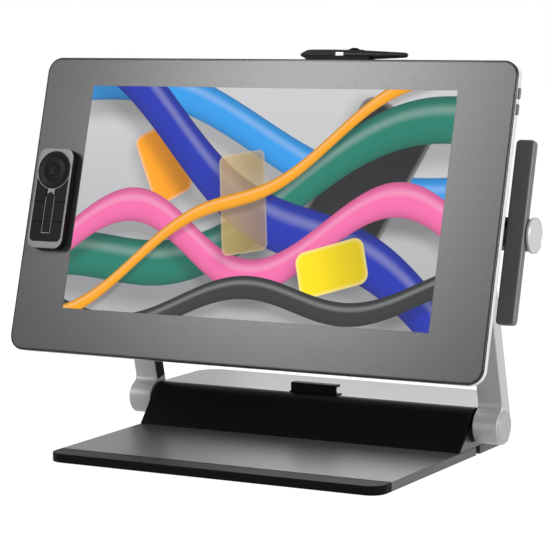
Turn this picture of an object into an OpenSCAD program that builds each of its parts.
// Pen display on an adjustable stand, with a key remote on its left bezel and a pen in a tray on its top edge.
// Millimetres. Origin on the desk under the middle of the base, +X to the right, +Y to the back, +Z up.

/* [Base] */
// Width of the base plate and of the housing on it
base_w = 471; // [440:1:520]
// Depth of the base plate from front to back
base_d = 394; // [380:1:420]
// Thickness of the base plate
plate_t = 11.5; // [10:0.5:13]
// Plan radius of the base's front corners
base_corner_r = 20; // [6:1:24]
// Plan radius of the base's rear corners
rear_corner_r = 30; // [10:1:31]
// Height of the rubber feet
foot_h = 1; // [1:0.5:3]
// Radius of each rubber foot
foot_r = 12; // [8:1:16]
// Distance of the foot centres from the plate's edges
foot_inset = 32; // [24:1:44]
// Width of the seam groove in each side of the base plate
seam_w = 11.5; // [2:0.5:12]
// Depth of the seam groove in each side of the base plate
seam_depth = 6; // [3:0.5:10]
// Distance of the seam groove behind the lower pivot
seam_back = 3.8; // [0:0.1:8]

/* [Housing] */
// Height of the housing's top above the desk
housing_h = 62.3; // [60:0.1:66]
// Slope of the front ramp, in degrees
ramp_angle = 49; // [44:0.1:52]
// Radius of the round between the ramp and the top
crest_r = 20; // [12:0.5:24]
// Sheet thickness of the ramp and top covers
cover_t = 2.5; // [1.5:0.1:3.5]
// Wall thickness of the cheeks and the rear cover
cheek_t = 3; // [2:0.1:4]
// How far the rear cover wraps round the sides
rear_wrap = 32; // [31:1:44]
// Width of the ramp cover's lip on the top
ramp_lip = 1.6; // [1.4:0.1:4]
// Width of the cable clip
clip_w = 67; // [50:1:80]
// Height of the cable clip above the top cover
clip_h = 13; // [12:0.5:20]
// Depth of the cable clip from front to back
clip_d = 13; // [11:0.5:18]
// Wall thickness of the cable clip
clip_t = 3; // [2:0.1:4]
// Width of the flange at the ends of the cable clip
clip_lip = 3; // [2:0.1:5]
// Distance of the cable clip behind the lower pivot
clip_back = 0.8; // [0.8:0.1:20]

/* [Lower pivot] */
// Distance of the lower pivot axis from the rear edge of the base
pivot_back = 120.7; // [110:0.1:130]
// Height of the lower pivot axis above the desk
pivot_h = 40.1; // [38:0.1:42]
// Radius of the lower shaft
shaft_r = 8; // [7:0.1:8.4]
// Wall of each bush
bush_wall = 3; // [2:0.1:3.4]
// Thickness of the flange on each bush
bush_flange_t = 1.5; // [1:0.1:2]
// Width of the flange on each bush
bush_flange_w = 2; // [1:0.1:2.5]
// Wall of the hinge block round its bush
block_wall = 3.5; // [3:0.1:4]
// Length of each hinge block along the shaft
block_len = 42; // [36:1:60]
// Free room between the hinge blocks and the ramp cover
ramp_gap = 5.1; // [3:0.1:6]
// Wire radius of the lift springs
lift_wire_r = 1.8; // [1.2:0.1:2]
// Turns of each lift spring
lift_turns = 8; // [5:1:10]

/* [Arms] */
// Distance between the lower and the upper pivot axis
arm_len = 258.8; // [245:0.1:290]
// Forward lean of the arms, in degrees
arm_lean = 13.8; // [10:0.1:20]
// Width of each arm along the pivot axis
arm_w = 33.5; // [28:0.5:38]
// Depth of each arm from front to back
arm_depth = 21; // [18:0.5:25]
// Distance of the arm's middle behind the line through both pivots
arm_offset = 13; // [8:0.5:15]
// Distance from each pivot axis at which the arm has its full depth
blend_len = 24; // [23:0.5:40]
// Radius of the lower pivot barrels
pivot_r = 22.5; // [18:0.5:23]
// Radius of the fillet between barrel and arm
neck_r = 10; // [8:0.5:16]
// Free room between the housing and each arm
arm_gap = 3.8; // [1.5:0.1:5]
// Thickness of the dark inner covers
arm_cover_t = 2; // [1.5:0.1:3]
// Depth of the cable channel in each arm
channel_depth = 10; // [6:0.5:14]
// Wall of the arm beside its inner cover
channel_wall = 1.2; // [1:0.1:3]
// Ledge that carries each inner cover
channel_ledge = 3; // [2:0.1:4]
// How far the end caps stand proud
cap_proud = 1; // [0.4:0.1:2]
// How deep the end caps sit in the arms
cap_seat = 2; // [1:0.1:3]
// Wall of the arm round an end cap
cap_wall = 1.8; // [1.2:0.1:3]

/* [Upper pivot] */
// Radius of the cross tube
tube_r = 11; // [10:0.1:12.5]
// Wall of the cross tube
tube_wall = 3; // [2:0.1:4]
// Wall of the upper boss round its bush
boss_wall = 4; // [3:0.1:5]
// Distance from the pivot axis to the front of the glass
pivot_depth = 96; // [88:0.5:104]
// Distance of the screen's middle below the pivot axis
screen_drop = 1.9; // [0:0.1:4]
// Length of each lever hub along the tube
hub_len = 63.4; // [58:0.1:72]
// Radius of the upper end caps
cap_r = 22.5; // [21:0.5:26]
// Thickness of the upper end caps
cap_t = 4; // [3:0.5:9]
// Length of the cap's spigot in the tube
spigot_len = 15; // [8:1:25]

/* [Levers] */
// Length of each release lever
lever_len = 227; // [180:1:250]
// Width of each release lever
lever_w = 25; // [18:0.5:26]
// Thickness of each release lever
lever_t = 12; // [10:0.5:13]
// Corner radius of each release lever
lever_corner_r = 5; // [2:0.5:8]
// Free room between the cross tube and the knuckle of each lever
knuckle_clear = 0.95; // [0.6:0.05:3]
// Radius of the hub that carries a lever
hub_r = 20; // [18.5:0.5:22]
// Radius of the hinge pin of a lever
pin_r = 2.4; // [1.8:0.1:2.8]
// Wall of the knuckle round the pin
knuckle_wall = 2.6; // [2:0.1:3]
// Thickness of each ear of the hub
ear_t = 6; // [4:0.5:8]
// Free length between the ears of the hub
ear_span = 24; // [20:0.5:30]
// Room between a lever and the cap outside it
lever_clear = 1.5; // [1.2:0.1:2.5]
// Wire radius of the return springs
lever_wire_r = 0.4; // [0.3:0.05:0.5]
// Turns of each return spring
lever_turns = 4; // [3:1:5]

/* [Cradle] */
// Width of the cradle plate
cradle_w = 150; // [136:1:180]
// Height of the cradle plate
cradle_h = 120; // [90:1:140]
// Thickness of the cradle plate
cradle_t = 6; // [4:0.5:7]
// Distance of the tube clamps from the middle
clamp_x = 50; // [46:1:60]
// Width of each tube clamp
clamp_w = 24; // [18:1:28]
// Wall of each tube clamp round the tube
clamp_wall = 5; // [4:0.5:8]
// Side of the square mount plate
mount_side = 140; // [124:1:160]
// Thickness of the mount plate
mount_t = 4; // [3:0.1:5]
// Spacing of the mount screws
mount_pitch = 100; // [96:1:108]
// Height of the shoulder on the mount plate
shoulder_h = 3.7; // [3.2:0.1:5]
// Radius of the shoulder on the mount plate
shoulder_r = 45; // [34:1:52]
// Radius of the swivel boss
swivel_r = 20; // [14:0.5:24]
// Radius of the retainer behind the cradle
retainer_r = 27; // [25:0.5:32]
// Thickness of the retainer
retainer_t = 3; // [2:0.1:3.4]
// Radius of the retainer's threaded stub
stub_r = 5; // [4:0.1:7]

/* [Screen] */
// Width of the screen
screen_w = 674; // [660:1:700]
// Height of the screen
screen_h = 390; // [380:1:410]
// Greatest thickness of the screen
screen_t = 47; // [44:0.5:48]
// Corner radius of the screen
screen_r = 20; // [14:1:28]
// Backward tilt of the screen from upright, in degrees
tilt = 16.4; // [12:0.1:24]
// Width of the black rim round the glass
rim_w = 2.6; // [1.2:0.1:3]
// Thickness of the front glass
glass_t = 2.2; // [1.5:0.1:2.6]
// Depth of the black front frame
frame_t = 3.5; // [3.2:0.1:5]
// Width of the ledge under the glass
ledge_w = 14; // [8:1:20]
// Depth of the silver side band
band_t = 7.5; // [7:0.1:9]
// Wall of the side band and the back cover
shell_wall = 2.5; // [2:0.1:3]
// Depth at which the first slope of the back ends
slope_t = 33; // [32:0.5:36]
// How far the first slope leans in at each side
slope_in = 32; // [26:1:38]
// Width of the raised middle of the back
hump_w = 430; // [400:1:460]
// Height of the raised middle of the back
hump_h = 230; // [210:1:240]
// Width of the picture area
view_w = 522; // [500:1:530]
// Height of the picture area
view_h = 294; // [284:1:298]
// Sideways place of the picture area's middle
view_x = 0; // [-3:0.1:3]
// Upward place of the picture area's middle
view_y = 10.2; // [6:0.1:12]
// Border of the display panel round the picture area
panel_border = 5; // [3:0.5:8]
// Thickness of the pen sensor board
sensor_t = 1.2; // [1:0.1:1.4]
// Thickness of the chassis plate
chassis_t = 1.5; // [1:0.1:1.8]

/* [Electronics] */
// Width of the main board
board_w = 240; // [220:1:250]
// Height of the main board
board_h = 120; // [100:1:130]
// Thickness of the main board
board_t = 1.6; // [1:0.1:2]
// Height of the posts under the main board
post_h = 7; // [5:0.1:8]
// Radius of the posts under the main board
post_r = 3.5; // [2.5:0.1:5]
// Width of the heat sink
sink_w = 90; // [60:1:110]
// Height of the heat sink's fins
fin_h = 8; // [5:0.5:10]
// Fins of the heat sink
fin_count = 9; // [5:1:12]
// Side of the square fan housing
fan_side = 64; // [56:1:72]
// Depth of the fan housing
fan_t = 13; // [11:0.5:15]
// Wall of the fan housing
fan_wall = 3; // [2:0.1:4]
// Blades of the fan rotor
blade_count = 9; // [5:1:13]
// Width of the port bay in the back
bay_w = 100; // [80:1:110]
// Height of the port bay in the back
bay_h = 80; // [70:1:90]
// Depth of the port bay's floor behind the glass
bay_floor = 26; // [25:0.5:27]
// Height of the sockets' middle above the bay's floor
socket_rise = 6; // [5:0.5:9]
// Radius of the round power inlet
inlet_r = 3.2; // [2.5:0.1:4]
// Depth of the sockets
socket_depth = 9; // [7:0.5:11]

/* [Side buttons] */
// Length of each side button
button_len = 13; // [10:0.5:16]
// Thickness of each side button
button_t = 4.2; // [3:0.1:5]
// How far each side button stands proud
button_proud = 2.6; // [1.5:0.1:2.9]
// Height of the upper side button above the screen's middle
button_y = 156; // [120:1:165]
// Distance between the two side buttons
button_pitch = 19.5; // [18:0.5:30]

/* [Remote] */
// Width of the remote
remote_w = 54; // [52:0.5:60]
// Length of the remote
remote_len = 132; // [129:1:145]
// Thickness of the remote
remote_t = 14; // [13.5:0.1:16]
// Corner radius of the remote
remote_r = 12; // [8:0.5:16]
// Distance of the remote's middle from the screen's left edge
remote_inset = 42; // [38:0.5:48]
// Upward place of the remote's middle on the screen
remote_y = 3.5; // [-10:0.5:20]
// Depth of the silver top frame
remote_frame_t = 1.4; // [1:0.1:5]
// Wall of the remote's lower shell
remote_wall = 2; // [1.5:0.1:3]
// Radius of the touch ring
ring_r = 24.4; // [20:0.1:24.6]
// Radius of the button in the ring
ring_button_r = 8; // [6:0.1:10]
// Distance of the ring's middle above the remote's middle
ring_y = 37.5; // [36:0.5:39]
// Width of the key field
field_w = 48; // [40:0.5:49]
// Length of the key field below the remote's middle
field_low = 57; // [55:0.5:58]
// Corner radius of the key field
field_r = 7; // [4:0.5:9]
// Width of the middle key
middle_key_w = 11; // [9:0.5:13]
// Distance of the middle key's lower end below the remote's middle
middle_key_low = 45; // [40:0.5:47]
// Width of the silver web round the middle key and the ring
web_w = 1.4; // [1.2:0.1:1.8]
// Free gap round each key
key_gap = 0.3; // [0.2:0.05:0.4]
// How far the keys stand above the frame
key_proud = 0.4; // [0.2:0.1:1]
// Room under the keys for their travel
key_room = 0.8; // [0.7:0.05:0.95]
// Thickness of the remote's board
remote_board_t = 1.2; // [1:0.1:1.6]
// Thickness of the remote's battery
battery_t = 3; // [2:0.1:3.4]

/* [Pen] */
// Length of the pen
pen_len = 149; // [146:1:160]
// Radius of the pen's grip
grip_r = 6.7; // [6.4:0.1:7.2]
// Length of the grip from the nib's cone
grip_len = 52; // [46:0.5:52.5]
// Length of the cone in front of the grip
cone_len = 8; // [6:0.5:10]
// Radius of the barrel inside the grip
core_r = 5; // [4.6:0.1:5.2]
// Radius of the tail end
tail_r = 3.3; // [2.8:0.1:3.8]
// Radius of the nib
nib_r = 1; // [0.7:0.05:1.2]
// Length of the side switch
switch_len = 30; // [24:0.5:34]
// Width of the side switch
switch_w = 5.4; // [4.5:0.1:6]
// Distance of the switch's face from the pen's axis
switch_top = 9; // [7.4:0.1:9.4]
// Place of the nib's tip from the screen's middle
pen_x = 33.5; // [30:0.5:60]
// Depth of the pen's axis behind the front of the glass
pen_depth = 12; // [11:0.5:14]
// Length of the pen tray
tray_len = 88; // [80:1:88.5]
// Depth of the pen tray from front to back
tray_d = 18; // [16:0.5:20]
// Height of the pen tray
tray_h = 5; // [4:0.1:6]
// Thickness of the tray's floor under the pen
tray_floor = 1.3; // [1:0.1:2]

/* [Clearances] */
// Radial clearance of shafts and pins
fit = 0.05; // [0.03:0.01:0.08]
// Free gap between pieces that move past each other
run_gap = 0.3; // [0.2:0.05:0.4]
// Radius of the screw shanks in the base
screw_r = 2.5; // [2:0.1:3]
// Radius of the mount screws
mount_screw_r = 2; // [1.5:0.1:2.4]
// Height of the screw heads
head_h = 2.2; // [1.8:0.1:2.6]

/* [Hidden] */
$fn = 64;
hull_fn = 32;
eps = 0.01;
screw_head = 1.8;
neck_bite = 0.15;
cradle_r = 12;
mount_r = 10;
thread_len = 8;
boss_len = 6;
boss_w = 6;
plate_top = foot_h + plate_t;
housing_in = housing_h - cover_t;
pivot_y = base_d / 2 - pivot_back;
bush_r = shaft_r + bush_wall;
block_r = bush_r + fit + block_wall;
ramp_reach = block_r + ramp_gap + cover_t;
crest_z = housing_h - crest_r;
crest_y = ramp_y(crest_z, crest_r);
crest_steps = 12;
ramp_seam = crest_y + ramp_lip;
seam_y = pivot_y + seam_back;
rear_split = base_d / 2 - rear_wrap;
cheek_in = base_w / 2 - cheek_t;
block_x1 = cheek_in - bush_flange_t - run_gap;
block_x0 = block_x1 - block_len;
screw_grip = 9;
screw_pitch = block_len / 2;
lift_coil_r = shaft_r + 2 * run_gap + lift_wire_r;
lift_gap = 1;
lift_pitch = 2 * lift_wire_r + lift_gap;
arm_x0 = base_w / 2 + arm_gap;
arm_x1 = arm_x0 + arm_w;
upper_bush_r = tube_r + bush_wall;
boss_r = upper_bush_r + fit + boss_wall;
upper_y = pivot_y - arm_len * sin(arm_lean);
upper_z = pivot_h + arm_len * cos(arm_lean);
bar_front = arm_offset - arm_depth / 2;
bar_rear = arm_offset + arm_depth / 2;
neck_across = bar_front - neck_r;
hub_x0 = arm_x1 + bush_flange_t + run_gap;
hub_x1 = hub_x0 + hub_len;
cap_reach = hub_x1 + cap_t;
lever_x1 = hub_x1 - lever_clear;
lever_x0 = lever_x1 - lever_w;
knuckle_r = pin_r + fit + knuckle_wall;
lever_front = tube_r + knuckle_clear + knuckle_r;
knuckle_gap = 2;
hub_gap = 1;
ear_foot = 8;
pin_x = lever_x0 - knuckle_r - knuckle_gap;
hub_step_x = pin_x - knuckle_r - hub_gap;
hub_cut = lever_front - lever_t / 2 - hub_gap;
lever_coil_r = pin_r + run_gap + lever_wire_r;
coil_gap = 0.45;
lever_pitch = 2 * lever_wire_r + coil_gap;
spring_room = lever_pitch * lever_turns + 2 * lever_wire_r + 2 * run_gap;
mount_back = pivot_depth - screen_t;
cradle_z1 = mount_back - mount_t - shoulder_h - run_gap;
cradle_z0 = cradle_z1 - cradle_t;
boss_end = cradle_z0 - run_gap;
retainer_z = boss_end - retainer_t;
clamp_half = tube_r + fit + clamp_wall;
glass_gap = 0.1;
band_end = frame_t + band_t;
rim_r = screen_r - rim_w;
panel_w = view_w + 2 * panel_border;
panel_h = view_h + 2 * panel_border;
panel_r = 2;
sensor_border = 4;
stack_gap = 0.1;
chassis_end = band_end - stack_gap;
sensor_end = chassis_end - chassis_t;
panel_end = sensor_end - sensor_t;
board_z = chassis_end + post_h;
board_end = board_z + board_t;
board_x = 30;
board_y = -10;
board_r = 3;
post_inset = 10;
sink_x = -10;
sink_y = 0;
sink_h = 60;
sink_base_t = 3;
fin_t = 2;
vent_count = 25;
vent_pitch = 14;
vent_w = 4;
vent_low = 12;
vent_len = 22;
vent_depth = 9;
bay_x = board_x + board_w / 2;
bay_y = -50;
port_d = 16;
port_end = screen_t - shell_wall - run_gap;
port_z = -bay_floor - socket_rise;
socket_count = 3;
socket_pitch = 14;
socket_first = -22;
socket_w = 9;
socket_h = 3.2;
inlet_y = 22;
fan_x = -150;
fan_y = 20;
rotor_r = fan_side / 2 - fan_wall - run_gap * 3;
rotor_h = fan_t - fan_wall - run_gap;
fan_hub_r = 11;
blade_t = 1.6;
blade_low = 1;
blade_root = 3;
spindle_r = 1.5;
button_depth = frame_t + band_t / 2;
button_lip = 1.4;
button_in = 3;
remote_x = remote_inset - screen_w / 2;
frame_z = remote_t - remote_frame_t;
remote_lift = 0.1;
remote_floor = remote_lift + remote_wall;
board_top = remote_floor + battery_t + remote_board_t;
key_z = board_top + key_room;
web_r = ring_r + key_gap + web_w;
key_top = ring_y - sqrt(pow(web_r + key_gap, 2) - pow(field_w / 2, 2) * 0.75);
key_rows = 3;
column_x = middle_key_w / 2 + 2 * key_gap + web_w;
column_top = ring_y;
row_h = (key_top + field_low) / key_rows;
pen_axis_y = screen_h / 2 + tray_floor + grip_r + run_gap;
grip_end = cone_len + grip_len;
switch_z = grip_end + 1;
switch_low = 4.2;
switch_room = 1.5;
rocker_x = 4;
rocker_r = 0.9;
rocker_half = 3.7;
tray_start = 4.5;
tray_x = pen_x + cone_len + tray_start;
nib_show = 0.8;
nib_wall = 0.6;
nib_len = 13;
nib_room = 16;
swell_len = 9;
grip_lip = 0.6;
barrel_drop = 0.1;
waist_drop = 0.7;
tail_len = 22;
tail_round = 4;
tail_bevel = 1.4;
ring_drop = 0.3;
button_drop = 0.5;
battery_w = 36;
battery_len = 64;
battery_r = 3;
battery_y = -10;
key_cap_gap = 4;

// Place of the ramp's face at height z, inset from the outside
function ramp_y(z, inset) =
    pivot_y - (ramp_reach - inset - cos(ramp_angle) * (z - pivot_h)) / sin(ramp_angle);

// Points of the round between the ramp and the top, inset from the outside, from the ramp up to the top
function crest_arc(inset) = [
    for (i = [0 : crest_steps])
        let (a = 90 + ramp_angle * (1 - i / crest_steps))
            [crest_y, crest_z] + (crest_r - inset) * [cos(a), sin(a)]
];

function backwards(points) = [for (i = [len(points) - 1 : -1 : 0]) points[i]];

// Height above a pivot of radius r of the middle of the neck's round
function neck_up(r) = sqrt(pow(r + neck_r, 2) - pow(neck_across, 2));

// Angle and point on a pivot of radius r where the line to the rear edge of the arm leaves it
function rear_angle(r) = atan2(blend_len, bar_rear) - acos(r / norm([bar_rear, blend_len]));
function rear_start(r) = (r - neck_bite) * [cos(rear_angle(r)), sin(rear_angle(r))];

// Points of a helix along X, one list of rings of six points, for a spring of radius r and wire w
function spring_points(r, w, pitch, turns) = [
    for (i = [0 : 12 * turns])
        for (k = [0 : 5])
            let (a = 30 * i, b = 60 * k, rad = r + w * cos(b))
                [pitch * a / 360 + w * sin(b), rad * cos(a), rad * sin(a)]
];

function spring_faces(turns) = concat(
    [for (k = [1 : 4]) [0, k + 1, k]],
    [for (i = [0 : 12 * turns - 1]) for (k = [0 : 5]) for (half = [0, 1])
        let (p = 6 * i + k, q = 6 * i + (k + 1) % 6)
            half == 0 ? [p, q, p + 6] : [q, q + 6, p + 6]],
    [for (k = [1 : 4]) let (last = 72 * turns) [last, last + k, last + k + 1]]
);

module spring(r, w, pitch, turns) {
    polyhedron(points = spring_points(r, w, pitch, turns), faces = spring_faces(turns));
}

module both_sides() {
    children();
    mirror([1, 0, 0]) children();
}

module along_x(x0, x1) {
    translate([x0, 0, 0]) rotate([90, 0, 90]) linear_extrude(x1 - x0) children();
}

module rod_x(x0, x1, r) {
    translate([x0, 0, 0]) rotate([0, 90, 0]) cylinder(h = x1 - x0, r = r);
}

module rounded_rect(w, h, r) {
    square([w - 2 * r, h], center = true);
    square([w, h - 2 * r], center = true);
    for (x = [-1, 1], y = [-1, 1])
        translate([x * (w / 2 - r), y * (h / 2 - r)]) circle(r);
}

// A rounded plate whose faces lie at the two depths behind the glass
module slab(w, h, r, near, far) {
    translate([0, 0, -far]) linear_extrude(far - near) rounded_rect(w, h, r);
}

module box_at(x0, x1, y0, y1, z0, z1) {
    translate([x0, y0, z0]) cube([x1 - x0, y1 - y0, z1 - z0]);
}

module on_lower_pivot() {
    translate([0, pivot_y, pivot_h]) children();
}

module on_arm() {
    on_lower_pivot() rotate([arm_lean, 0, 0]) children();
}

// Upper pivot axis along X, z towards the viewer, y up along the screen
module on_upper_pivot() {
    translate([0, upper_y, upper_z]) rotate([90 - tilt, 0, 0]) children();
}

// Front of the glass at z = 0, z towards the viewer, y up along the screen
module on_screen() {
    on_upper_pivot() translate([0, -screen_drop, pivot_depth]) children();
}

module on_remote() {
    on_screen() translate([remote_x, remote_y, 0]) children();
}

// Pen axis along z from the nib's tip, x away from the tray
module on_pen() {
    on_screen() translate([pen_x, pen_axis_y, -pen_depth]) rotate([0, 90, 0]) rotate([0, 0, 90]) children();
}

module base_outline() {
    side = base_w / 2;
    end = base_d / 2;
    translate([-side, base_corner_r - end]) square([base_w, base_d - base_corner_r - rear_corner_r]);
    translate([base_corner_r - side, -end]) square([base_w - 2 * base_corner_r, end]);
    translate([rear_corner_r - side, -1]) square([base_w - 2 * rear_corner_r, end + 1]);
    for (x = [-1, 1]) {
        translate([x * (side - base_corner_r), base_corner_r - end]) circle(base_corner_r);
        translate([x * (side - rear_corner_r), end - rear_corner_r]) circle(rear_corner_r);
    }
}

module screw_places() {
    for (side = [-1, 1], end = [-0.5, 0.5])
        translate([side * (block_x0 + block_len / 2) + end * screw_pitch, pivot_y, 0]) children();
}

module base_plate() {
    color("#2b2c2e")
    difference() {
        translate([0, 0, foot_h]) linear_extrude(plate_t) base_outline();
        screw_places() cylinder(h = plate_top + 1, r = screw_r + fit);
        screw_places() cylinder(h = foot_h + head_h, r = screw_r * screw_head + run_gap);
        both_sides() box_at(base_w / 2 - seam_depth, base_w / 2 + 1, seam_y - seam_w / 2, seam_y + seam_w / 2,
            foot_h - 1, plate_top + 1);
    }
}

module base_feet() {
    color("#1a1a1a")
    for (x = [-1, 1], y = [-1, 0, 1])
        translate([x * (base_w / 2 - foot_inset), y * (base_d / 2 - foot_inset), 0])
            cylinder(h = foot_h, r = foot_r);
}

module ramp_cover() {
    color("#18191a")
    along_x(-base_w / 2, base_w / 2) polygon(concat(
        [[ramp_y(plate_top, 0), plate_top]],
        crest_arc(0),
        [[ramp_seam, housing_h], [ramp_seam, housing_in]],
        backwards(crest_arc(cover_t)),
        [[ramp_y(plate_top, cover_t), plate_top]]
    ));
}

module top_cover() {
    color("#c9cacb")
    translate([0, 0, housing_in]) linear_extrude(cover_t) intersection() {
        base_outline();
        translate([-base_w / 2, ramp_seam]) square([base_w, base_d]);
    }
}

module rear_cover() {
    color("#3a3b3d")
    translate([0, 0, plate_top]) linear_extrude(housing_in - plate_top) difference() {
        intersection() {
            base_outline();
            translate([-base_w / 2, rear_split]) square([base_w, base_d]);
        }
        rounded_rect(2 * cheek_in, base_d - 2 * cheek_t, rear_corner_r - cheek_t);
    }
}

module end_cheeks() {
    color("#77797b")
    both_sides() difference() {
        along_x(cheek_in, base_w / 2) polygon(concat(
            [[ramp_y(plate_top, cover_t), plate_top]],
            crest_arc(cover_t),
            [[rear_split, housing_in], [rear_split, plate_top]]
        ));
        on_lower_pivot() rod_x(cheek_in - 1, base_w / 2 + 1, shaft_r + 2 * run_gap);
    }
}

module cable_clip() {
    color("#1b1b1c")
    translate([0, pivot_y + clip_back, housing_h]) {
        box_at(-clip_w / 2 - clip_lip, clip_w / 2 + clip_lip, 0, clip_d, 0, clip_t / 2);
        box_at(-clip_w / 2, clip_w / 2, 0, clip_t, 0, clip_h);
        box_at(-clip_w / 2, clip_w / 2, 0, clip_d, clip_h - clip_t, clip_h);
    }
}

module hinge_blocks() {
    color("#8a8c8f")
    difference() {
        both_sides() on_lower_pivot() along_x(block_x0, block_x1) {
            circle(block_r);
            translate([-block_r, plate_top - pivot_h]) square([2 * block_r, pivot_h - plate_top]);
        }
        both_sides() on_lower_pivot() rod_x(block_x0 - 1, block_x1 + 1, bush_r + fit);
        screw_places() cylinder(h = plate_top + screw_grip + run_gap, r = screw_r + fit);
    }
}

module lower_bushes() {
    color("#b08d57")
    both_sides() on_lower_pivot() difference() {
        union() {
            rod_x(block_x0, block_x1, bush_r);
            rod_x(block_x1, block_x1 + bush_flange_t, bush_r + bush_flange_w);
        }
        rod_x(block_x0 - 1, block_x1 + bush_flange_t + 1, shaft_r + fit);
    }
}

module lift_springs() {
    color("#9a9da0")
    both_sides() on_lower_pivot()
        translate([block_x0 - run_gap - lift_wire_r - lift_pitch * lift_turns, 0, 0])
            spring(lift_coil_r, lift_wire_r, lift_pitch, lift_turns);
}

module base_screws() {
    color("#b9bbbd")
    screw_places() {
        translate([0, 0, foot_h]) cylinder(h = head_h, r = screw_r * screw_head);
        translate([0, 0, foot_h]) cylinder(h = plate_t + screw_grip, r = screw_r);
    }
}

module lower_shaft() {
    color("#a6a9ac")
    on_lower_pivot() rod_x(-arm_x1 + cap_seat, arm_x1 - cap_seat, shaft_r);
}

// The round that hollows the neck between a pivot of radius r and the front of the arm
module neck_round(r) {
    translate([neck_across, neck_up(r)]) circle(neck_r + neck_bite);
}

// The rear edge of the arm leaves each pivot on a tangent and reaches its full depth at blend_len
module arm_bar() {
    low = rear_start(pivot_r);
    high = rear_start(boss_r);
    polygon([
        [0, 0],
        low,
        [bar_rear, blend_len],
        [bar_rear, arm_len - blend_len],
        [high.x, arm_len - high.y],
        [0, arm_len],
        [neck_across, arm_len - neck_up(boss_r)],
        [bar_front, arm_len - neck_up(boss_r)],
        [bar_front, neck_up(pivot_r)],
        [neck_across, neck_up(pivot_r)]
    ]);
}

module arm_outline() {
    difference() {
        union() {
            circle(pivot_r);
            translate([0, arm_len]) circle(boss_r);
            arm_bar();
        }
        neck_round(pivot_r);
        translate([0, arm_len]) mirror([0, 1]) neck_round(boss_r);
    }
}

module channel(inset) {
    w = arm_depth - 2 * channel_wall - 2 * inset;
    translate([arm_offset - w / 2, blend_len + inset]) square([w, arm_len - 2 * blend_len - 2 * inset]);
}

module right_arm_solid() {
    on_arm() difference() {
        along_x(arm_x0, arm_x1) arm_outline();
        along_x(arm_x0 - 1, arm_x0 + arm_cover_t) channel(0);
        along_x(arm_x0 - 1, arm_x0 + channel_depth) channel(channel_ledge);
        rod_x(arm_x0 - 1, arm_x1 + 1, shaft_r + fit);
        rod_x(arm_x1 - cap_seat, arm_x1 + 1, pivot_r - cap_wall + fit);
        translate([0, 0, arm_len]) rod_x(arm_x0 - 1, arm_x1 + 1, upper_bush_r + fit);
    }
}

module left_arm() {
    color("#c4c6c8") mirror([1, 0, 0]) right_arm_solid();
}

module right_arm() {
    color("#c4c6c8") right_arm_solid();
}

module arm_covers() {
    color("#1f2022")
    both_sides() on_arm() along_x(arm_x0, arm_x0 + arm_cover_t) channel(fit);
}

module lower_caps() {
    color("#d6d8da")
    both_sides() on_lower_pivot() rod_x(arm_x1 - cap_seat, arm_x1 + cap_proud, pivot_r - cap_wall);
}

module upper_bushes() {
    color("#b08d57")
    both_sides() on_arm() translate([0, 0, arm_len]) difference() {
        union() {
            rod_x(arm_x0, arm_x1, upper_bush_r);
            rod_x(arm_x1, arm_x1 + bush_flange_t, upper_bush_r + bush_flange_w);
        }
        rod_x(arm_x0 - 1, arm_x1 + bush_flange_t + 1, tube_r + fit);
    }
}

module cross_tube() {
    color("#8e9193")
    on_upper_pivot() difference() {
        rod_x(-hub_x1, hub_x1, tube_r);
        rod_x(-hub_x1 - 1, hub_x1 + 1, tube_r - tube_wall);
    }
}

module tilt_cradle() {
    color("#2e3032")
    on_upper_pivot() difference() {
        union() {
            translate([0, 0, cradle_z0]) linear_extrude(cradle_t) rounded_rect(cradle_w, cradle_h, cradle_r);
            for (side = [-1, 1])
                box_at(side * clamp_x - clamp_w / 2, side * clamp_x + clamp_w / 2,
                    -clamp_half, clamp_half, -clamp_half, cradle_z0);
        }
        rod_x(-cradle_w, cradle_w, tube_r + fit);
        translate([0, 0, boss_end]) cylinder(h = cradle_t + 1, r = swivel_r + fit);
    }
}

// The ears of the hub hold the pin in front of the tube, inboard of the lever
module hub_ears() {
    for (side = [-1, 1])
        translate([0, side * (ear_span + ear_t) / 2, 0])
            rotate([90, 0, 0]) linear_extrude(ear_t, center = true) {
                translate([pin_x, lever_front]) circle(knuckle_r);
                polygon([
                    [hub_step_x - ear_foot, 0],
                    [pin_x + knuckle_r, 0],
                    [pin_x + knuckle_r, lever_front],
                    [pin_x - knuckle_r, lever_front],
                    [hub_step_x - ear_foot, hub_cut]
                ]);
            }
}

module lever_hubs() {
    color("#1d1e20")
    both_sides() on_upper_pivot() difference() {
        union() {
            difference() {
                rod_x(hub_x0, hub_x1, hub_r);
                box_at(hub_step_x, hub_x1 + 1, -hub_r, hub_r, hub_cut, hub_r + 1);
            }
            hub_ears();
        }
        rod_x(hub_x0 - 1, hub_x1 + 1, tube_r + fit);
        translate([pin_x, 0, lever_front]) rotate([90, 0, 0])
            cylinder(h = ear_span + 2 * ear_t + 2, r = pin_r + fit, center = true);
    }
}

module upper_caps() {
    color("#d6d8da")
    both_sides() on_upper_pivot() {
        rod_x(hub_x1, cap_reach, cap_r);
        rod_x(hub_x1 - spigot_len, hub_x1, tube_r - tube_wall - fit);
    }
}

module lever_pins() {
    color("#b9bbbd")
    both_sides() on_upper_pivot() translate([pin_x, 0, lever_front]) rotate([90, 0, 0])
        cylinder(h = ear_span + 2 * ear_t, r = pin_r, center = true);
}

module lever_springs() {
    color("#b9bbbd")
    both_sides() on_upper_pivot()
        translate([pin_x, ear_span / 2 - run_gap - lever_wire_r, lever_front]) rotate([0, 0, -90])
            spring(lever_coil_r, lever_wire_r, lever_pitch, lever_turns);
}

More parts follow.
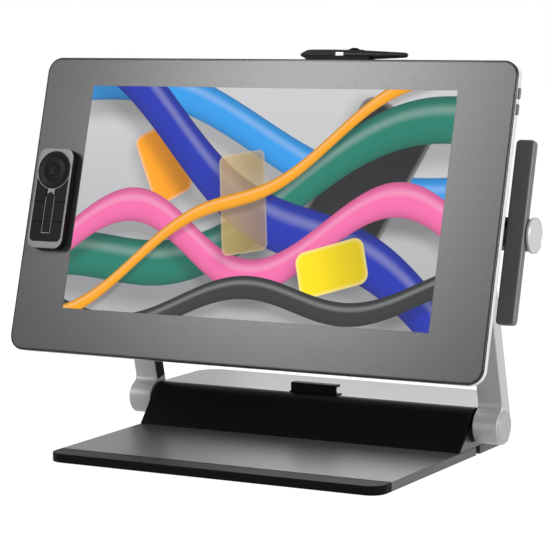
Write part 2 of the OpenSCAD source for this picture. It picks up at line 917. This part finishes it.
module right_lever_solid() {
    knuckle_low = -ear_span / 2 + run_gap;
    knuckle_high = ear_span / 2 - spring_room;
    on_upper_pivot() difference() {
        union() {
            translate([(lever_x0 + lever_x1) / 2, 0, lever_front - lever_t / 2])
                linear_extrude(lever_t) rounded_rect(lever_w, lever_len, lever_corner_r);
            translate([pin_x, knuckle_low, lever_front]) rotate([-90, 0, 0])
                cylinder(h = knuckle_high - knuckle_low, r = knuckle_r);
            box_at(pin_x, lever_x0 + 1, knuckle_low, knuckle_high,
                lever_front - knuckle_r + 1, lever_front + knuckle_r - 1);
        }
        translate([pin_x, 0, lever_front]) rotate([90, 0, 0])
            cylinder(h = ear_span, r = pin_r + fit, center = true);
        rod_x(lever_x0 - 1, lever_x1 + 1, tube_r + 2 * run_gap);
    }
}

module left_lever() {
    color("#3c3e40") mirror([1, 0, 0]) right_lever_solid();
}

module right_lever() {
    color("#3c3e40") right_lever_solid();
}

module mount_screw_places() {
    for (x = [-1, 1], y = [-1, 1])
        translate([x * mount_pitch / 2, y * mount_pitch / 2, 0]) children();
}

module mount_plate() {
    color("#4a4c4e")
    on_upper_pivot() difference() {
        union() {
            translate([0, 0, mount_back - mount_t]) linear_extrude(mount_t)
                rounded_rect(mount_side, mount_side, mount_r);
            translate([0, 0, mount_back - mount_t - shoulder_h]) cylinder(h = shoulder_h + 1, r = shoulder_r);
            translate([0, 0, boss_end]) cylinder(h = mount_back - boss_end - 1, r = swivel_r);
        }
        mount_screw_places() cylinder(h = pivot_depth, r = mount_screw_r + 2 * fit);
        translate([0, 0, boss_end - 1]) cylinder(h = mount_back - boss_end, r = stub_r + fit);
    }
}

module swivel_retainer() {
    color("#9a9da0")
    on_upper_pivot() {
        translate([0, 0, retainer_z]) cylinder(h = retainer_t, r = retainer_r);
        translate([0, 0, retainer_z]) cylinder(h = retainer_t + cradle_t + shoulder_h, r = stub_r);
    }
}

module mount_screws() {
    color("#b9bbbd")
    on_upper_pivot() mount_screw_places() {
        translate([0, 0, mount_back - mount_t - head_h]) cylinder(h = head_h, r = mount_screw_r * screw_head);
        translate([0, 0, mount_back - mount_t - 1]) cylinder(h = mount_t + thread_len, r = mount_screw_r);
    }
}

// One layer of the back cover's outline, thin enough to hull with the next
module back_layer(w, h, r, depth, inset) {
    translate([0, 0, -depth]) linear_extrude(eps)
        rounded_rect(w - 2 * inset, h - 2 * inset, r - inset, $fn = hull_fn);
}

module back_form(inset) {
    hull() {
        back_layer(screen_w, screen_h, screen_r, band_end + (inset > 0 ? -1 : eps), inset);
        back_layer(screen_w - 2 * slope_in, screen_h - 2 * slope_in, screen_r, slope_t - inset, inset);
        back_layer(hump_w, hump_h, screen_r, screen_t - inset, inset);
    }
}

// The port block closes the bay's inner end, so only the other three walls grow
module port_bay(grow) {
    box_at(bay_x, bay_x + bay_w + grow, bay_y - bay_h / 2 - grow, bay_y + bay_h / 2 + grow,
        -screen_t - 1, -bay_floor + grow);
}

module vent_slots() {
    for (i = [0 : vent_count - 1])
        translate([(i - (vent_count - 1) / 2) * vent_pitch, hump_h / 2 + vent_low, 0])
            box_at(-vent_w / 2, vent_w / 2, 0, vent_len, -screen_t, -slope_t + vent_depth);
}

module back_cover() {
    color("#35373a")
    on_screen() difference() {
        union() {
            difference() {
                back_form(0);
                back_form(shell_wall);
            }
            intersection() {
                back_form(0);
                port_bay(shell_wall);
            }
            translate([0, screen_drop, -screen_t + shell_wall - eps]) mount_screw_places()
                cylinder(h = boss_len, r = boss_w);
        }
        port_bay(0);
        vent_slots();
        translate([0, screen_drop, -screen_t - 1]) mount_screw_places()
            cylinder(h = thread_len + boss_len, r = mount_screw_r + fit);
    }
}

module button_places() {
    for (i = [0, 1])
        translate([screen_w / 2, button_y - i * button_pitch, -button_depth]) children();
}

module side_band() {
    color("#c8cacc")
    on_screen() difference() {
        slab(screen_w, screen_h, screen_r, frame_t, band_end);
        slab(screen_w - 2 * shell_wall, screen_h - 2 * shell_wall, screen_r - shell_wall, 0, band_end + 1);
        button_places() cube([3 * shell_wall, button_len + 2 * run_gap, button_t + 2 * run_gap], center = true);
    }
}

module front_frame() {
    color("#121213")
    on_screen() difference() {
        slab(screen_w, screen_h, screen_r, 0, frame_t);
        slab(screen_w - 2 * rim_w, screen_h - 2 * rim_w, rim_r, -1, glass_t);
        slab(screen_w - 2 * ledge_w, screen_h - 2 * ledge_w, rim_r, -1, frame_t + 1);
    }
}

module front_glass() {
    color("#6f7173")
    on_screen() slab(screen_w - 2 * rim_w - 2 * glass_gap, screen_h - 2 * rim_w - 2 * glass_gap,
        rim_r - glass_gap, 0, glass_t);
}

module display_panel() {
    color("#9aa6b8")
    on_screen() translate([view_x, view_y, 0]) slab(panel_w, panel_h, panel_r, glass_t, panel_end);
}

module sensor_board() {
    color("#2f6b3c")
    on_screen() translate([view_x, view_y, 0])
        slab(panel_w + 2 * sensor_border, panel_h + 2 * sensor_border, panel_r, panel_end, sensor_end);
}

module post_places() {
    for (x = [-1, 1], y = [-1, 1])
        translate([board_x + x * (board_w / 2 - post_inset), board_y + y * (board_h / 2 - post_inset), 0])
            children();
}

module chassis_plate() {
    color("#a9acae")
    on_screen() {
        slab(screen_w - 2 * shell_wall - 2 * run_gap, screen_h - 2 * shell_wall - 2 * run_gap,
            screen_r - shell_wall - run_gap, sensor_end, chassis_end);
        post_places() translate([0, 0, -board_z]) cylinder(h = post_h + 1, r = post_r);
    }
}

module main_board() {
    color("#1f5a35")
    on_screen() translate([board_x, board_y, 0]) slab(board_w, board_h, board_r, board_z, board_end);
}

module heat_sink() {
    pitch = (sink_w - fin_t) / (fin_count - 1);
    color("#8d9092")
    on_screen() translate([sink_x, sink_y, -board_end]) {
        box_at(-sink_w / 2, sink_w / 2, -sink_h / 2, sink_h / 2, -sink_base_t, 0);
        for (i = [0 : fin_count - 1])
            translate([i * pitch - sink_w / 2, 0, 0])
                box_at(0, fin_t, -sink_h / 2, sink_h / 2, -sink_base_t - fin_h, 0);
    }
}

module fan_housing() {
    color("#232425")
    on_screen() translate([fan_x, fan_y, -chassis_end - fan_t]) difference() {
        translate([-fan_side / 2, -fan_side / 2, 0]) cube([fan_side, fan_side, fan_t]);
        translate([0, 0, -1]) cylinder(h = fan_t - fan_wall + 1, r = fan_side / 2 - fan_wall);
        cylinder(h = fan_t + 1, r = spindle_r + fit);
    }
}

module fan_rotor() {
    color("#333537")
    on_screen() translate([fan_x, fan_y, -chassis_end - fan_t]) {
        cylinder(h = rotor_h, r = fan_hub_r);
        translate([0, 0, blade_low]) cylinder(h = fan_t - run_gap - blade_low, r = spindle_r);
        for (i = [0 : blade_count - 1])
            rotate(i * 360 / blade_count) translate([fan_hub_r - blade_root, -blade_t / 2, blade_low])
                cube([rotor_r - fan_hub_r + blade_root, blade_t, rotor_h - 2 * blade_low]);
    }
}

module port_block() {
    color("#55585a")
    on_screen() difference() {
        box_at(bay_x - port_d, bay_x - run_gap, bay_y - bay_h / 2, bay_y + bay_h / 2, -port_end, -board_end);
        for (i = [0 : socket_count - 1])
            translate([bay_x - run_gap, bay_y + socket_first + i * socket_pitch, port_z])
                cube([2 * socket_depth, socket_w, socket_h], center = true);
        translate([0, bay_y + inlet_y, port_z]) rod_x(bay_x - run_gap - socket_depth, bay_x + 1, inlet_r);
    }
}

module side_button() {
    cap_in = shell_wall + run_gap;
    translate([(button_proud - cap_in) / 2, 0, 0])
        cube([button_proud + cap_in, button_len, button_t], center = true);
    translate([-cap_in - button_lip / 2, 0, 0])
        cube([button_lip, button_len + button_in, button_t], center = true);
}

module power_button() {
    color("#8f9294")
    on_screen() translate([screen_w / 2, button_y, -button_depth]) side_button();
}

module touch_button() {
    color("#8f9294")
    on_screen() translate([screen_w / 2, button_y - button_pitch, -button_depth]) side_button();
}

module pen_tray() {
    color("#141415")
    on_screen() difference() {
        box_at(tray_x, tray_x + tray_len, screen_h / 2, screen_h / 2 + tray_h,
            -pen_depth - tray_d / 2, -pen_depth + tray_d / 2);
        translate([0, pen_axis_y, -pen_depth]) rod_x(tray_x - 1, tray_x + tray_len + 1, grip_r + run_gap);
    }
}

module remote_shell() {
    color("#0e0e0f")
    on_remote() difference() {
        translate([0, 0, remote_lift]) linear_extrude(frame_z - remote_lift)
            rounded_rect(remote_w, remote_len, remote_r);
        translate([0, 0, remote_floor]) linear_extrude(frame_z)
            rounded_rect(remote_w - 2 * remote_wall, remote_len - 2 * remote_wall, remote_r - remote_wall);
    }
}

// Outline of the key field with the room round the ring left out
module key_field() {
    difference() {
        translate([0, (column_top - field_low) / 2]) rounded_rect(field_w, column_top + field_low, field_r);
        translate([0, ring_y]) circle(web_r);
    }
}

module middle_key_outline(grow) {
    w = middle_key_w + 2 * grow;
    top = ring_y - web_r - w / 2 - key_cap_gap;
    translate([0, top]) circle(d = w);
    translate([-w / 2, -middle_key_low - grow]) square([w, top + middle_key_low + grow]);
}

module remote_frame() {
    color("#b4b6b8")
    on_remote() translate([0, 0, frame_z]) linear_extrude(remote_frame_t) {
        difference() {
            rounded_rect(remote_w, remote_len, remote_r);
            translate([0, ring_y]) circle(ring_r + key_gap);
            key_field();
        }
        difference() {
            union() {
                middle_key_outline(key_gap + web_w);
                translate([-middle_key_w / 2, 0]) square([middle_key_w, ring_y - ring_r]);
            }
            middle_key_outline(key_gap);
            translate([0, ring_y]) circle(ring_r + key_gap);
        }
    }
}

module touch_ring() {
    color("#1c1d1e")
    on_remote() translate([0, ring_y, board_top]) difference() {
        cylinder(h = remote_t - board_top - ring_drop, r = ring_r);
        translate([0, 0, -1]) cylinder(h = remote_t, r = ring_button_r + key_gap);
    }
}

module ring_button() {
    color("#2a2b2d")
    on_remote() translate([0, ring_y, key_z]) cylinder(h = remote_t - key_z - button_drop, r = ring_button_r);
}

module remote_board() {
    color("#1f5a35")
    on_remote() translate([0, 0, board_top - remote_board_t]) linear_extrude(remote_board_t)
        rounded_rect(remote_w - 2 * remote_wall - 2 * key_gap, remote_len - 2 * remote_wall - 2 * key_gap,
            remote_r - remote_wall - key_gap);
}

module remote_battery() {
    color("#5a5d60")
    on_remote() translate([0, battery_y, remote_floor]) linear_extrude(battery_t)
        rounded_rect(battery_w, battery_len, battery_r);
}

// One key of a column, cut to the field and clear of the ring and the middle key
module column_key(side, row) {
    top = row == 0 ? column_top : key_top - row * row_h - key_gap;
    low = row == key_rows - 1 ? -field_low : key_top - (row + 1) * row_h + key_gap;
    x = side > 0 ? key_gap : -field_w / 2;
    color("#1a1b1c")
    on_remote() translate([0, 0, key_z]) linear_extrude(remote_t + key_proud - key_z) difference() {
        intersection() {
            translate([0, (column_top - field_low) / 2])
                rounded_rect(field_w - 2 * key_gap, column_top + field_low - 2 * key_gap, field_r - key_gap);
            translate([x, low]) square([field_w / 2 - key_gap, top - low]);
        }
        translate([0, ring_y]) circle(web_r + key_gap);
        middle_key_outline(2 * key_gap + web_w);
        translate([-column_x, -middle_key_low]) square([2 * column_x, ring_y + middle_key_low]);
    }
}

module middle_key() {
    color("#1a1b1c")
    on_remote() translate([0, 0, key_z]) linear_extrude(remote_t + key_proud - key_z) middle_key_outline(0);
}

module rocker_pin(gap) {
    translate([rocker_x, 0, switch_z + switch_len / 2]) rotate([90, 0, 0])
        cylinder(h = 2 * rocker_half + 2 * gap, r = rocker_r + gap, center = true);
}

module switch_pocket() {
    translate([switch_low - switch_room, -switch_w / 2 - run_gap, switch_z - run_gap])
        cube([2 * switch_top, switch_w + 2 * run_gap, switch_len + 2 * run_gap]);
}

module pen_barrel() {
    color("#161617")
    on_pen() difference() {
        rotate_extrude() polygon([
            [0, nib_show],
            [nib_r + nib_wall, nib_show],
            [core_r, cone_len],
            [core_r, grip_end],
            [grip_r - barrel_drop, grip_end],
            [grip_r - waist_drop, switch_z + switch_len],
            [tail_r + waist_drop, pen_len - tail_len],
            [tail_r, pen_len - tail_round],
            [tail_r - tail_bevel, pen_len],
            [0, pen_len]
        ]);
        cylinder(h = nib_room, r = nib_r + fit);
        switch_pocket();
        rocker_pin(fit);
    }
}

module pen_grip() {
    color("#222324")
    on_pen() difference() {
        rotate_extrude() polygon([
            [core_r + fit, cone_len],
            [core_r + grip_lip, cone_len],
            [grip_r, cone_len + swell_len],
            [grip_r, grip_end - run_gap],
            [core_r + fit, grip_end - run_gap]
        ]);
        switch_pocket();
    }
}

module pen_nib() {
    color("#3a3b3c")
    on_pen() {
        translate([0, 0, nib_r]) sphere(r = nib_r);
        translate([0, 0, nib_r]) cylinder(h = nib_len, r = nib_r);
    }
}

module pen_switch() {
    color("#3a3c3e")
    on_pen() {
        translate([switch_low, -switch_w / 2, switch_z]) cube([switch_top - switch_low, switch_w, switch_len]);
        rocker_pin(0);
    }
}

base_plate();
base_feet();
ramp_cover();
top_cover();
rear_cover();
end_cheeks();
cable_clip();
hinge_blocks();
lower_bushes();
lift_springs();
base_screws();
lower_shaft();
left_arm();
right_arm();
arm_covers();
lower_caps();
upper_bushes();
cross_tube();
tilt_cradle();
lever_hubs();
upper_caps();
lever_pins();
lever_springs();
left_lever();
right_lever();
mount_plate();
swivel_retainer();
mount_screws();
back_cover();
side_band();
front_frame();
front_glass();
display_panel();
sensor_board();
chassis_plate();
main_board();
heat_sink();
fan_housing();
fan_rotor();
port_block();
power_button();
touch_button();
pen_tray();
remote_shell();
remote_frame();
touch_ring();
ring_button();
remote_board();
remote_battery();
column_key(-1, 0);  // left_key_1
column_key(-1, 1);  // left_key_2
column_key(-1, 2);  // left_key_3
column_key(1, 0);  // right_key_1
column_key(1, 1);  // right_key_2
column_key(1, 2);  // right_key_3
middle_key();
pen_barrel();
pen_grip();
pen_nib();
pen_switch();
